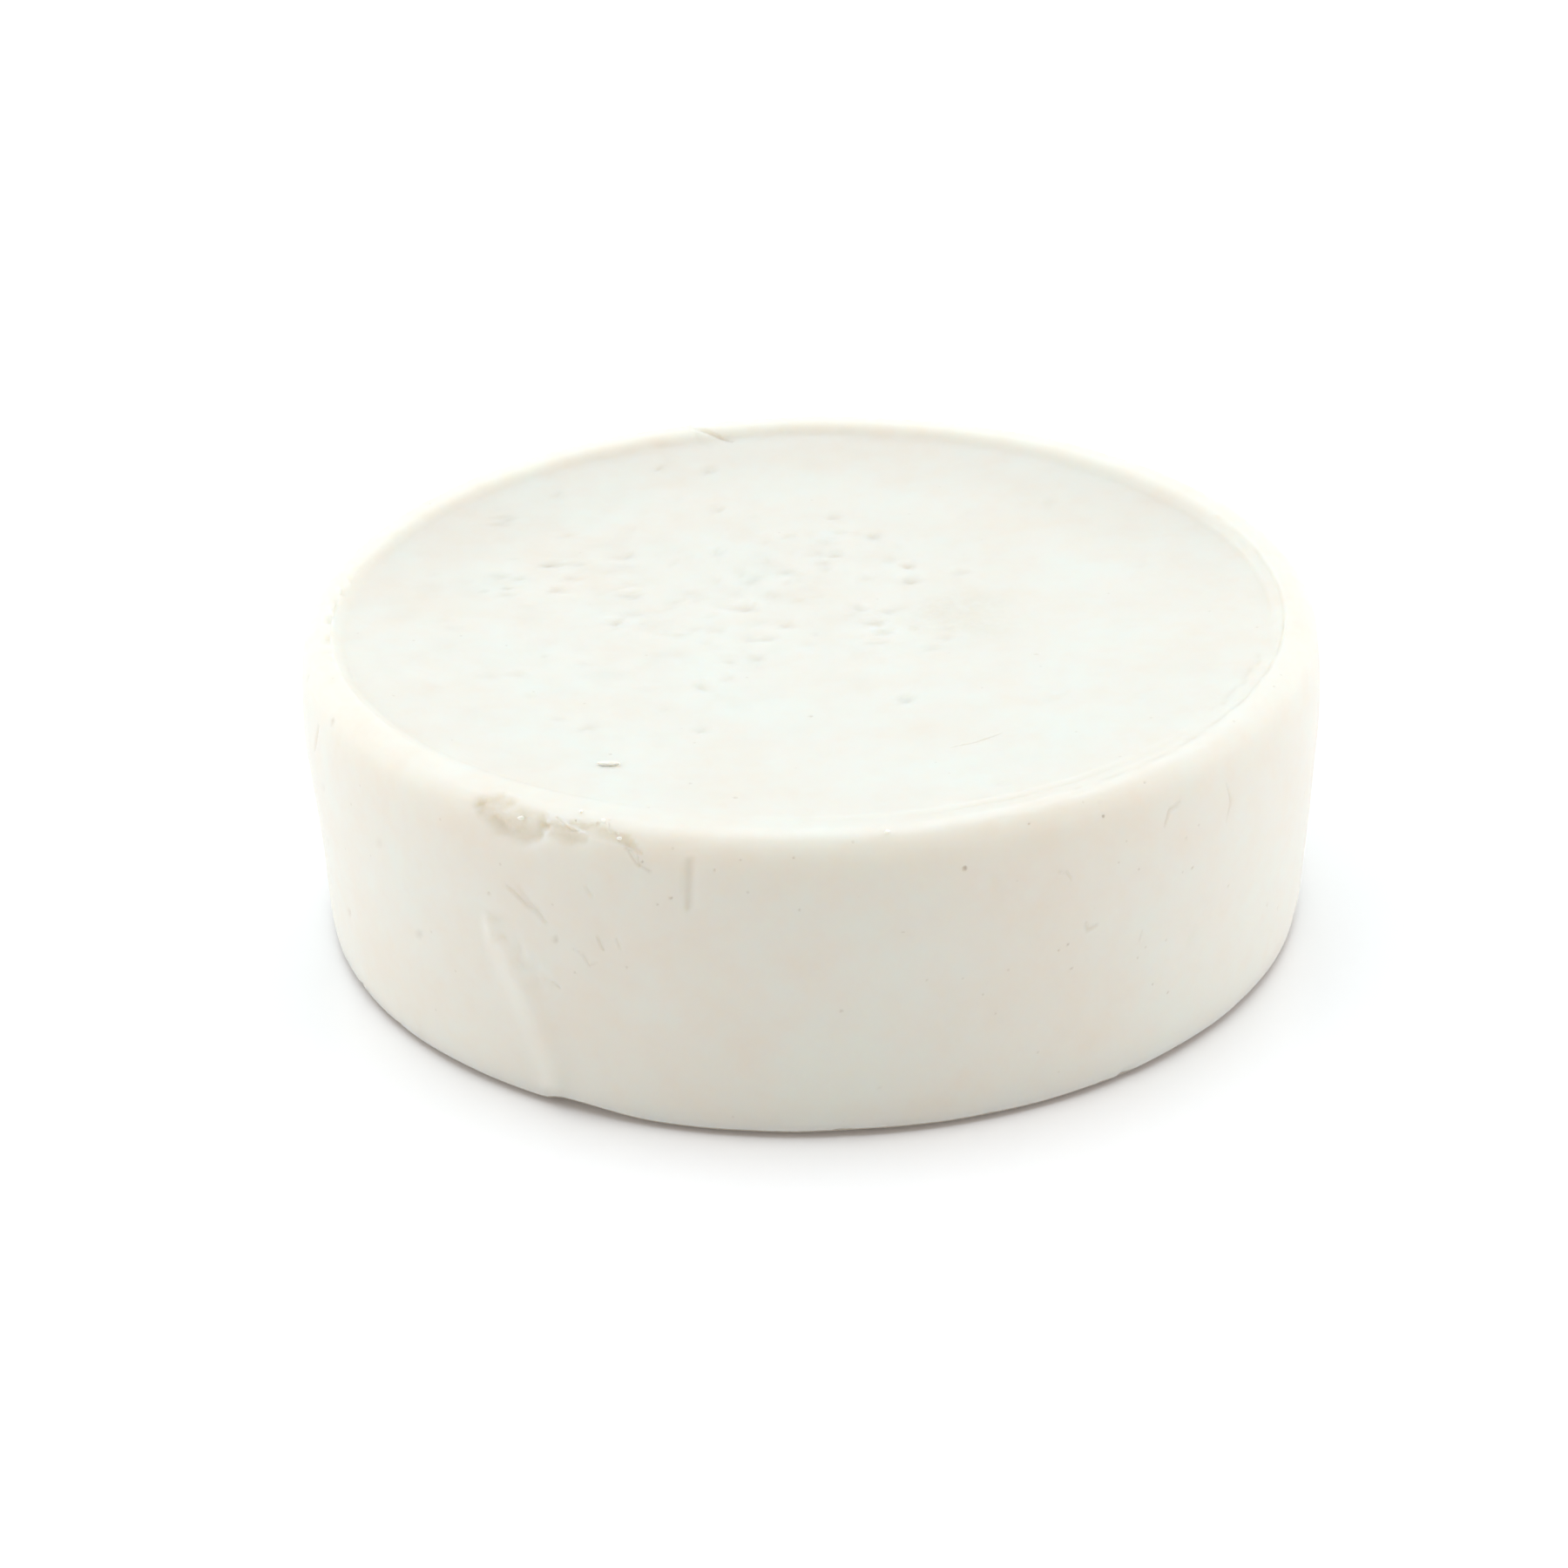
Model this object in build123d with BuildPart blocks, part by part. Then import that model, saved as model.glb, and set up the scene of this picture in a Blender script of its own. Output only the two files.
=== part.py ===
"""A shaving soap puck: one moulded cake of soap, with the loose flake and crumbs that lie on it.

The cake is a short tapered disc with a rounded raised rim and a shallow dished top.
The origin is the centre of the base, Z is up and the front is -Y.
Angles go round the cake from +X, so the front is at 270 degrees.
"""
from build123d import *
import math
import os

os.makedirs("parts", exist_ok=True)

# Driving dimensions of the cake, in millimetres
RIM_RADIUS = 38.0        # where the wall and the top would meet in a sharp corner
BASE_RADIUS = 36.7       # the wall tapers inwards to the base
HEIGHT = 23.9
RIM_ROUND = 2.1          # outer edge of the rim
BASE_ROUND = 0.8         # the edge of the base turns up a little, so its rim is just off the table
RIM_WIDTH = 2.7          # from the sharp corner inwards to the lip
LIP_ROUND = 0.8          # inner edge of the rim
LIP_DEPTH = 0.95         # from the top of the rim down to the edge of the dish
LIP_SLOPE = 1.4          # how far the lip leans inwards on its way down
DISH_SAG = 1.2           # middle of the dish below its own edge

# The dish is part of a sphere, so its radius follows from its width and its sag
LIP_RADIUS = RIM_RADIUS - RIM_WIDTH
DISH_RADIUS = LIP_RADIUS - LIP_SLOPE
DISH_EDGE = HEIGHT - LIP_DEPTH
DISH_FLOOR = DISH_EDGE - DISH_SAG
SPHERE_RADIUS = (DISH_RADIUS**2 + DISH_SAG**2) / (2 * DISH_SAG)
SPHERE_CENTRE = DISH_FLOOR + SPHERE_RADIUS
DISH_SWEEP = math.degrees(math.asin(DISH_RADIUS / SPHERE_RADIUS))


def wall_radius(height):
    """Radius of the tapered wall at a height above the base."""
    return BASE_RADIUS + (RIM_RADIUS - BASE_RADIUS) * height / HEIGHT


def dish_height(radius):
    """Height of the dished top at a distance from the axis."""
    return SPHERE_CENTRE - math.sqrt(SPHERE_RADIUS**2 - radius**2)


def facing_out(angle, radius, height, tilt=0.0):
    """Plane that faces outwards, its X along the wall and turned up by the tilt."""
    turn = math.radians(angle)
    lift = math.radians(tilt)
    outwards = Vector(math.cos(turn), math.sin(turn), 0)
    along = Vector(-math.sin(turn), math.cos(turn), 0)
    x_dir = along * math.cos(lift) + Vector(0, 0, math.sin(lift))
    return Plane(origin=outwards * radius + Vector(0, 0, height), x_dir=x_dir, z_dir=outwards)


def broken_out(place, length, width):
    """Pointed, lemon-shaped piece that has broken out of the soap, lying along the X of its place."""
    with BuildPart() as bite:
        with BuildSketch(place):
            with BuildLine():
                ThreePointArc((-length / 2, 0), (0, width / 2), (length / 2, 0))
                Line((length / 2, 0), (-length / 2, 0))
            make_face()
        revolve(axis=Axis(place.origin, place.x_dir))
    return bite.part


# Damage to the cake: a broken stretch of rim, cracks and nicks in the wall, a lifted base edge
rim_chip = broken_out(facing_out(236.5, 37.6, 23.5), length=8.0, width=2.0)
rim_chip_tail = broken_out(facing_out(243.5, 37.8, 23.4), length=6.5, width=1.3)
wall_nick = broken_out(facing_out(256.6, wall_radius(20.6), 20.6, tilt=90), length=4.0, width=0.7)
wall_gouge = broken_out(facing_out(238.2, wall_radius(16.7), 16.7, tilt=-33), length=3.9, width=0.4)
base_lift = broken_out(facing_out(246.0, 37.0, -0.1), length=17.0, width=1.5)
back_crack = broken_out(Plane(origin=(-6.6, 33.0, 23.4), x_dir=(0.75, -0.66, -0.15)), length=5.0, width=0.5)

# Soap cake: poured into a round tapered mould and turned out, solid all through
with BuildPart() as soap_cake:
    with BuildSketch(Plane.XZ):
        with BuildLine():
            dish = CenterArc((0, SPHERE_CENTRE), SPHERE_RADIUS, start_angle=-90, arc_size=DISH_SWEEP)
            FilletPolyline(
                (0, 0),
                (BASE_RADIUS, 0),
                (RIM_RADIUS, HEIGHT),
                (LIP_RADIUS, HEIGHT),
                dish @ 1,
                radius=[BASE_ROUND, RIM_ROUND, LIP_ROUND],
            )
            Line((0, 0), dish @ 0)
        make_face()
    revolve(axis=Axis.Z)
    for damage in (rim_chip, rim_chip_tail, wall_nick, wall_gouge, base_lift, back_crack):
        add(damage, mode=Mode.SUBTRACT)
soap_cake.part.label = "soap_cake"
export_step(soap_cake.part, "parts/soap_cake.step")

# Surface flake: a thin shaving of dry soap that lies loose on the dish
FLAKE_LENGTH = 2.1
FLAKE_WIDTH = 0.8
FLAKE_THICKNESS = 0.4
FLAKE_ROUND = 0.1
FLAKE_SINK = 0.1         # how far its curled underside follows the soap below it
FLAKE_X = -14.3
FLAKE_Y = -23.7
FLAKE_TURN = (1, -0.06, 0)

flake_seat = dish_height(math.hypot(FLAKE_X, FLAKE_Y)) - FLAKE_SINK
with BuildPart() as surface_flake:
    with BuildSketch(Plane(origin=(FLAKE_X, FLAKE_Y, flake_seat), x_dir=FLAKE_TURN)):
        with BuildLine():
            ThreePointArc((-FLAKE_LENGTH / 2, 0), (0, FLAKE_WIDTH / 2), (FLAKE_LENGTH / 2, 0))
            ThreePointArc((FLAKE_LENGTH / 2, 0), (0, -FLAKE_WIDTH / 2), (-FLAKE_LENGTH / 2, 0))
        make_face()
    extrude(amount=FLAKE_THICKNESS + FLAKE_SINK)
    fillet(surface_flake.edges().group_by(Axis.Z)[-1], radius=FLAKE_ROUND)
    add(soap_cake.part, mode=Mode.SUBTRACT)
surface_flake.part.label = "surface_flake"
export_step(surface_flake.part, "parts/surface_flake.step")

# Edge crumbs: separate grains that broke off the rim and cling to the chip and beside it
CRUMB_SHAPE = (1.0, 0.75, 0.65)     # length, width and thickness as parts of a crumb's size
CRUMB_ROUND = 0.08
CRUMBS = (
    # angle, distance from the axis, height, size, tilt
    (237.0, 37.05, 23.05, 0.60, 20.0),
    (243.6, 36.20, 23.90, 0.45, -10.0),
    (246.8, 36.60, 23.85, 0.60, 15.0),
    (248.9, 37.45, 23.10, 0.50, -25.0),
    (277.4, 36.40, 23.90, 0.55, 10.0),
)

with BuildPart() as edge_crumbs:
    for angle, radius, height, size, tilt in CRUMBS:
        with Locations(facing_out(angle, radius, height, tilt)):
            Box(*(size * share for share in CRUMB_SHAPE))
    fillet(edge_crumbs.edges(), radius=CRUMB_ROUND)
    add(soap_cake.part, mode=Mode.SUBTRACT)
edge_crumbs.part.label = "edge_crumbs"
export_step(edge_crumbs.part, "parts/edge_crumbs.step")
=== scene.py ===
"""A shaving soap puck: the looks of the cake, its loose flake and its crumbs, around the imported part.

The object is put together in the order that it was made: the cake first, then what has come off it,
then the table and the lamps. Sizes are in millimetres until a mesh is written, which is in metres.
Angles go round the cake from +X, so the front is at 270 degrees.
"""
import math

import bmesh
import bpy
import numpy as np
from mathutils import Matrix, Vector, noise


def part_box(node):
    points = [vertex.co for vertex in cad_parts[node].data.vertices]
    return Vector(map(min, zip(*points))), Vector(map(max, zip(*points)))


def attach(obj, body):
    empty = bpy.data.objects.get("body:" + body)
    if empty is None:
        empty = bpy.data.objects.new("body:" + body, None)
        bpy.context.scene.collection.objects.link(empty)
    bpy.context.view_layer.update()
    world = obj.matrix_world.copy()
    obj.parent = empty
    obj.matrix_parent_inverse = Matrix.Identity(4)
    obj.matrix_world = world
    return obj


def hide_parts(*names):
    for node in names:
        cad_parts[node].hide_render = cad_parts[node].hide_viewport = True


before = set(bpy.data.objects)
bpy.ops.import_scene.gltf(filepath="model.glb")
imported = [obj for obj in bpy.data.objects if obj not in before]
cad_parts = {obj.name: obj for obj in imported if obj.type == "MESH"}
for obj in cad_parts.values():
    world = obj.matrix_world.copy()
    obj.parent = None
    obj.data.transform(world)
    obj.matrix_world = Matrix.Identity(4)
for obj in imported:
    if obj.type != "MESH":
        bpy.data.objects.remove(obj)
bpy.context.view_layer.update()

# ---------------------------------------------------------------------------------------------
# Soap cake
# One cake of hard, cream-white soap, poured warm into a round tapered mould and turned out.
# It shrank as it set, which left a rounded rim, a lip and a shallow dish, and it has been
# knocked about since: the front of the rim is chipped, and the wall is nicked and pitted.
# ---------------------------------------------------------------------------------------------
MM = 0.001
cake_low, cake_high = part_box("soap_cake")
HEIGHT = cake_high.z / MM
CORNER_CUT = 0.12               # what the rounding of the rim takes off its sharp corner
RIM_RADIUS = (cake_high.x - cake_low.x) / 2 / MM + CORNER_CUT
TAPER = 0.966                   # the base as a share of the rim
BASE_RADIUS = TAPER * RIM_RADIUS
BASE_ROUND = 0.2
FOOT = 0.42                     # how far the edge of the base turns up from the table, all round
SHOULDER = 17.6                 # above this height the wall leans in a little, on a long soft curve
SHOULDER_LEAN = 0.52
SHOULDER_ROUND = 36.0
RIM_ROUND = 1.8
RIM_WIDTH = 2.7
LIP_RADIUS = RIM_RADIUS - RIM_WIDTH
LIP_ROUND = 0.8
LIP_SLOPE = 1.4
LIP_DEPTH = 0.95
FOOT_ROUND = 1.6                # where the lip runs out into the dish
DISH_RADIUS = LIP_RADIUS - LIP_SLOPE
DISH_EDGE = HEIGHT - LIP_DEPTH
DISH_SAG = 1.2                  # the middle of the dish below its own edge
DISH_STEPS = 60
ARC_STEPS = 9                   # points for each radian of a rounded corner
FEWEST_STEPS = 5


def dish_height(radius):
    """Height of the dished top at a distance from the axis."""
    return DISH_EDGE - DISH_SAG * (1 - (radius / DISH_RADIUS)**2)


def rounded(corners):
    """Points of a chain of straight runs whose corners, (x, y, radius), are rounded with arcs."""
    chain = [np.array(corners[0][:2])]
    for before, corner, after in zip(corners, corners[1:], corners[2:]):
        here = np.array(corner[:2])
        back = np.array(before[:2]) - here
        on = np.array(after[:2]) - here
        back /= np.linalg.norm(back)
        on /= np.linalg.norm(on)
        half = math.acos(float(back @ on)) / 2
        middle = (back + on) / np.linalg.norm(back + on)
        centre = here + middle * corner[2] / math.sin(half)
        start = here + back * corner[2] / math.tan(half) - centre
        turn = math.pi - 2 * half
        side = math.copysign(1.0, back[0] * on[1] - back[1] * on[0])
        for angle in np.linspace(0, -side * turn, max(FEWEST_STEPS, round(turn * ARC_STEPS))):
            spun = (start[0] * math.cos(angle) - start[1] * math.sin(angle),
                    start[0] * math.sin(angle) + start[1] * math.cos(angle))
            chain.append(centre + np.array(spun))
    chain.append(np.array(corners[-1][:2]))
    return chain


# Half of the cake's outline, as distance from the axis and height: base, wall, rim, lip and dish
INNER = DISH_RADIUS * 0.9       # inside this the dish is one plain curve
outline = rounded([
    (0.0, 0.0, 0.0),
    (BASE_RADIUS, 0.0, BASE_ROUND),
    (RIM_RADIUS, SHOULDER, SHOULDER_ROUND),
    (RIM_RADIUS - SHOULDER_LEAN, HEIGHT, RIM_ROUND),
    (LIP_RADIUS, HEIGHT, LIP_ROUND),
    (DISH_RADIUS, DISH_EDGE, FOOT_ROUND),
    (INNER, dish_height(INNER), 0.0),
])
for radius in np.linspace(INNER, 0.0, DISH_STEPS)[1:]:
    outline.append(np.array((radius, dish_height(radius))))
outline = np.array(outline)

runs = np.diff(outline, axis=0)
run_lengths = np.linalg.norm(runs, axis=1)
reached = np.concatenate(([0.0], np.cumsum(run_lengths)))
run_normals = np.stack((runs[:, 1], -runs[:, 0]), axis=1) / run_lengths[:, None]
corner_normals = np.concatenate((run_normals[:1], run_normals[:-1] + run_normals[1:], run_normals[-1:]))
corner_normals /= np.linalg.norm(corner_normals, axis=1)[:, None]


def settle(points):
    """Puts points on the outline. Gives their places, their outward normals and how far along they are."""
    places = np.empty_like(points)
    normals = np.empty_like(points)
    along = np.empty(len(points))
    batch = 4000        # so many at a time, to save memory
    for first in range(0, len(points), batch):
        some = points[first:first + batch]
        flat = np.stack((np.hypot(some[:, 0], some[:, 1]), some[:, 2]), axis=1)
        offset = flat[:, None, :] - outline[None, :-1, :]
        part = np.clip((offset * runs).sum(2) / run_lengths**2, 0, 1)
        gap = np.linalg.norm(offset - part[..., None] * runs, axis=2)
        best = gap.argmin(1)
        part = part[np.arange(len(some)), best]
        spot = outline[best] + part[:, None] * runs[best]
        normal = corner_normals[best] * (1 - part[:, None]) + corner_normals[best + 1] * part[:, None]
        normal /= np.linalg.norm(normal, axis=1)[:, None]
        turn = np.arctan2(some[:, 1], some[:, 0])
        way = np.stack((np.cos(turn), np.sin(turn)), axis=1)
        places[first:first + batch] = np.column_stack((way * spot[:, :1], spot[:, 1]))
        normals[first:first + batch] = np.column_stack((way * normal[:, :1], normal[:, 1]))
        along[first:first + batch] = reached[best] + part * run_lengths[best]
    return places, normals, along


def beside(angle, radius, height):
    """A point at an angle in degrees, a distance from the axis and a height above the edge of the base."""
    turn = math.radians(angle)
    return np.array((radius * math.cos(turn), radius * math.sin(turn), height + FOOT))


def on_cake(angle, radius, height):
    """The place on the cake that is nearest to such a point."""
    place, _, _ = settle(beside(angle, radius, height)[None, :])
    return place[0]


def on_wall(angle, height):
    """A place on the wall."""
    return on_cake(angle, BASE_RADIUS + (RIM_RADIUS - BASE_RADIUS) * height / HEIGHT, height)


def on_dish(x, y):
    """A place on the dished top, by how far it is to the right of the axis and behind it."""
    radius = math.hypot(x, y)
    return on_cake(math.degrees(math.atan2(y, x)), radius, dish_height(radius) - FOOT)


# Cracks, nicks and scratches: the path, the width, the depth and how much dirt has caught in it.
# A path is points of angle and height on the wall, of angle, distance from the axis and height on the
# rim, and of distance to the right and behind the axis on the dish.
WALL_LINES = [
    ([(235.7, 17.3), (237.1, 16.8), (238.2, 16.1), (239.3, 15.9), (240.6, 15.1)], 0.42, 0.26, 0.35),
    ([(256.65, 22.0), (256.5, 18.0)], 1.3, 0.28, 0.4),
    ([(199.6, 20.7), (198.6, 19.2), (197.6, 18.0)], 0.6, 0.35, 0.4),
    ([(236.8, 17.7), (238.5, 16.6), (240.1, 15.7)], 0.8, 0.14, 0.1),
    ([(245.2, 18.9), (246.2, 17.9)], 0.36, 0.16, 0.3),
    ([(246.3, 15.0), (247.0, 13.9)], 0.32, 0.18, 0.15),
    ([(248.5, 15.2), (249.0, 14.2)], 0.34, 0.15, 0.15),
    ([(243.4, 13.6), (244.5, 13.3), (245.2, 12.4), (246.2, 12.9)], 0.24, 0.14, 0.35),
    ([(240.3, 10.4), (241.4, 10.0)], 0.24, 0.16, 0.6),
    ([(250.0, 21.9), (251.0, 21.0), (252.6, 20.6)], 0.30, 0.16, 0.5),
    ([(251.0, 21.7), (251.3, 20.7)], 0.20, 0.14, 0.7),
    ([(250.2, 22.3), (249.6, 22.0), (250.6, 21.8)], 0.22, 0.16, 0.5),
    ([(295.6, 18.7), (296.7, 18.5), (297.4, 17.8)], 0.24, 0.14, 0.5),
    ([(309.6, 19.3), (310.6, 20.4), (312.4, 20.6)], 0.34, 0.20, 0.6),
    ([(319.8, 20.2), (320.4, 18.6), (319.4, 17.2)], 0.28, 0.16, 0.4),
    ([(299.2, 14.1), (299.6, 13.4), (300.8, 13.6)], 0.40, 0.22, 0.6),
    ([(307.0, 11.8), (306.7, 10.9)], 0.24, 0.14, 0.5),
]
RIM_LINES = [
    ([(241.3, 37.0, 23.3), (242.4, 37.3, 23.1), (243.3, 37.6, 22.7), (244.4, 37.6, 22.8)], 0.32, 0.22, 0.5),
    ([(105.0, 35.6, 23.4), (102.6, 34.8, 23.3), (99.5, 33.6, 22.4)], 0.55, 0.4, 0.5),
    ([(301.6, 37.0, 23.0), (301.8, 37.9, 21.7)], 0.34, 0.1, 0.25),
    ([(247.2, 36.2, 23.4), (247.6, 37.0, 23.3), (248.6, 37.3, 23.0), (248.9, 37.8, 22.4)], 0.24, 0.2, 0.6),
]
DISH_LINES = [
    ([(9.6, -21.6), (11.4, -20.8), (13.4, -19.4)], 0.32, 0.16, 1.8),
]
lines = [([on_wall(*spot) for spot in path], *rest) for path, *rest in WALL_LINES]
lines += [([on_cake(*spot) for spot in path], *rest) for path, *rest in RIM_LINES]
lines += [([on_dish(*spot) for spot in path], *rest) for path, *rest in DISH_LINES]

# Pits and pinholes left by air bubbles and grit: place as above, radius, depth and dirt
WALL_PITS = [
    (285.4, 20.4, 0.28, 0.22, 1.0), (314.0, 15.1, 0.20, 0.18, 0.9), (301.9, 21.7, 0.20, 0.16, 0.9),
    (303.3, 18.0, 0.14, 0.12, 0.6), (321.0, 11.6, 0.20, 0.14, 0.5), (331.4, 6.8, 0.24, 0.14, 0.4),
    (335.2, 5.3, 0.22, 0.14, 0.4), (297.2, 12.7, 0.16, 0.14, 0.8), (296.1, 12.4, 0.15, 0.12, 0.7),
    (297.8, 10.6, 0.18, 0.14, 0.7), (306.6, 9.6, 0.15, 0.12, 0.7), (309.2, 6.7, 0.15, 0.12, 0.8),
    (311.8, 5.4, 0.17, 0.15, 0.9), (272.2, 10.2, 0.20, 0.12, 0.7), (267.5, 22.2, 0.18, 0.10, 0.6),
    (268.0, 18.4, 0.14, 0.10, 0.7), (287.4, 10.2, 0.16, 0.10, 0.6), (288.9, 8.4, 0.15, 0.10, 0.6),
    (294.1, 4.3, 0.18, 0.12, 0.5), (233.3, 16.2, 0.18, 0.18, 1.0), (254.7, 18.8, 0.20, 0.18, 0.9),
    (251.6, 21.2, 0.16, 0.14, 0.7), (241.3, 14.0, 0.42, 0.22, 0.5), (312.8, 17.7, 0.18, 0.12, 0.5),
    (306.0, 16.9, 0.16, 0.10, 0.5), (259.3, 21.1, 0.14, 0.10, 0.5), (262.0, 21.9, 0.14, 0.10, 0.4),
    (278.6, 16.2, 0.12, 0.08, 0.5), (249.5, 12.9, 0.16, 0.10, 0.4), (281.2, 12.1, 0.16, 0.08, 0.4),
    (253.3, 18.2, 0.12, 0.10, 0.6), (243.4, 11.6, 0.14, 0.10, 0.5), (276.2, 3.6, 0.18, 0.10, 0.3),
]
RIM_PITS = [
    (308.2, 36.9, 23.1, 0.20, 0.14, 0.6), (335.0, 36.4, 23.3, 0.16, 0.12, 0.5),
    (243.6, 36.9, 23.3, 0.14, 0.14, 0.9), (246.2, 36.8, 23.3, 0.20, 0.16, 0.9),
    (331.5, 35.0, 23.2, 0.30, 0.14, 0.4), (293.0, 37.4, 22.9, 0.15, 0.10, 0.7),
]
DISH_PITS = [
    (-5.5, -29.7, 0.28, 0.12, 0.6), (-8.6, -27.0, 0.24, 0.08, 0.4), (-0.1, -15.1, 0.26, 0.14, 0.7),
    (16.6, -6.0, 0.22, 0.10, 0.4), (-14.2, -21.6, 0.18, 0.10, 0.8), (-22.7, 7.3, 0.55, 0.14, 0.25),
    (-24.3, 6.6, 0.60, 0.12, 0.2), (-19.5, -4.4, 0.50, 0.12, 0.2), (0.4, -0.7, 0.45, 0.10, 0.15),
]
pits = [(on_wall(angle, height), *rest) for angle, height, *rest in WALL_PITS]
pits += [(on_cake(angle, radius, height), *rest) for angle, radius, height, *rest in RIM_PITS]
pits += [(on_dish(x, y), *rest) for x, y, *rest in DISH_PITS]

# The blank mesh: rings of quads up the wall and over the rim, with a square grid mapped into each end
GRID = 96
COLUMNS = 4 * GRID
ROW_STEP = 0.6
RIM_STEP = 0.32
RIM_BAND = 2.6          # how far below the top the finer rows begin
BASE_LEAD = 0.3         # the first row is this far inside the edge of the base
DISH_LEAD = 1.2         # the last row is this far outside the plain part of the dish
rim_start = HEIGHT - RIM_BAND
end_of_base = reached[1] - BASE_LEAD
start_of_dish = reached[-DISH_STEPS] - DISH_LEAD

stops = [end_of_base]
while stops[-1] < start_of_dish:
    height_here = np.interp(stops[-1], reached, outline[:, 1])
    fine = height_here > rim_start or height_here < BASE_ROUND
    stops.append(stops[-1] + (RIM_STEP if fine else ROW_STEP))
ring_radii = np.interp(stops, reached, outline[:, 0])
ring_heights = np.interp(stops, reached, outline[:, 1])

blank = bmesh.new()
rings = []
for radius, height in zip(ring_radii, ring_heights):
    turns = [math.radians(-45 + 360 * column / COLUMNS) for column in range(COLUMNS)]
    rings.append([blank.verts.new((radius * math.cos(t), radius * math.sin(t), height)) for t in turns])
for lower, upper in zip(rings, rings[1:]):
    for column in range(COLUMNS):
        after = (column + 1) % COLUMNS
        blank.faces.new((lower[column], lower[after], upper[after], upper[column]))


def close_end(ring, radius, height_at, upwards):
    """Fills a ring with a square grid that is bent into a disc, so that no face is a sliver."""
    edge = {}
    for step in range(GRID):
        edge[(GRID, step)] = ring[step]
        edge[(GRID - step, GRID)] = ring[GRID + step]
        edge[(0, GRID - step)] = ring[2 * GRID + step]
        edge[(step, 0)] = ring[3 * GRID + step]
    for row in range(1, GRID):
        for column in range(1, GRID):
            a = 2 * row / GRID - 1
            b = 2 * column / GRID - 1
            if abs(a) >= abs(b):
                away = a
                turn = math.pi / 4 * b / a if a else 0.0
            else:
                away = b
                turn = math.pi / 2 - math.pi / 4 * a / b
            x = radius * away * math.cos(turn)
            y = radius * away * math.sin(turn)
            edge[(row, column)] = blank.verts.new((x, y, height_at(math.hypot(x, y))))
    for row in range(GRID):
        for column in range(GRID):
            square = [edge[(row, column)], edge[(row + 1, column)],
                      edge[(row + 1, column + 1)], edge[(row, column + 1)]]
            blank.faces.new(square if upwards else square[::-1])


close_end(rings[0], ring_radii[0], lambda radius: 0.0, upwards=False)
close_end(rings[-1], ring_radii[-1], dish_height, upwards=True)

# Where the mesh has to be finer than the blank: place, reach and edge length. The rim and the broken
# stretch are listed, and every line and pit adds its own.
FINEST = 0.1
fine_zones = [
    (on_cake(238.0, 37.4, 22.8), 5.0, 0.22),
    (on_cake(246.5, 37.4, 22.6), 4.5, 0.22),
    (on_wall(240.5, 13.5), 5.0, 0.3),
    (on_wall(304.0, 14.0), 7.0, 0.4),
    (on_cake(102.5, 34.8, 23.2), 2.8, 0.25),
    (on_cake(175.0, 35.4, 23.2), 4.5, 0.3),
    (on_cake(192.0, 35.4, 23.2), 5.0, 0.3),
    (on_cake(210.0, 35.4, 23.2), 5.0, 0.3),
    (on_cake(315.0, 35.0, 23.2), 5.0, 0.3),
    (on_cake(335.0, 35.0, 23.2), 5.0, 0.3),
    (on_cake(355.0, 35.0, 23.2), 5.0, 0.35),
    (on_cake(90.0, 34.6, 23.0), 6.0, 0.35),
    (on_cake(270.0, 36.6, 23.2), 6.0, 0.35),
    (on_cake(285.0, 36.6, 23.2), 6.0, 0.35),
    (on_cake(297.0, 36.6, 23.2), 5.0, 0.35),
]
for path, width, depth, dirt in lines:
    steps = np.linspace(0, len(path) - 1, 3 * len(path))
    for step in steps:
        first = min(int(step), len(path) - 2)
        spot = path[first] + (path[first + 1] - path[first]) * (step - first)
        fine_zones.append((spot, width * 0.8, max(FINEST, width * 0.3)))
for spot, radius, depth, dirt in pits:
    fine_zones.append((spot, radius * 1.1, max(FINEST, radius * 0.6)))
GROW = 0.5              # how much longer edges may be for each millimetre further from a zone
ANY_LENGTH = 9.0        # where no zone is near
TOO_LONG = 1.5          # an edge is cut in two when it is this many times as long as it should be
LEVELS = 3
for level in range(LEVELS):
    blank.edges.ensure_lookup_table()
    ends = np.array([[*edge.verts[0].co, *edge.verts[1].co] for edge in blank.edges])
    lengths = np.linalg.norm(ends[:, :3] - ends[:, 3:], axis=1)
    middles = (ends[:, :3] + ends[:, 3:]) / 2
    wanted = np.full(len(lengths), ANY_LENGTH)
    for spot, reach, edge_length in fine_zones:
        beyond = np.clip(np.linalg.norm(middles - spot, axis=1) - reach, 0, None)
        wanted = np.minimum(wanted, edge_length + GROW * beyond)
    chosen = [edge for edge, split in zip(blank.edges, lengths > TOO_LONG * wanted) if split]
    bmesh.ops.subdivide_edges(blank, edges=chosen, cuts=1, use_grid_fill=True)
bmesh.ops.triangulate(blank, faces=[face for face in blank.faces if len(face.verts) > 4])

points, out, along = settle(np.array([vert.co for vert in blank.verts]))
angles = np.degrees(np.arctan2(points[:, 1], points[:, 0])) % 360
turns = np.radians(angles)
away = np.hypot(points[:, 0], points[:, 1])
heights = points[:, 2].copy()
facing_up = out[:, 2]
upper_half = heights > HEIGHT / 2


def ease(share):
    """0 below 0, 1 above 1 and smooth in between."""
    share = np.clip(share, 0, 1)
    return share * share * (3 - 2 * share)


def rise(values, start, span):
    """0 up to a start, then a smooth rise that reaches 1 over a span."""
    return ease((values - start) / span)


def fall(values, end, span):
    """1 until a span before an end, then a smooth fall that reaches 0 at the end."""
    return ease((end - values) / span)


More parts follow.
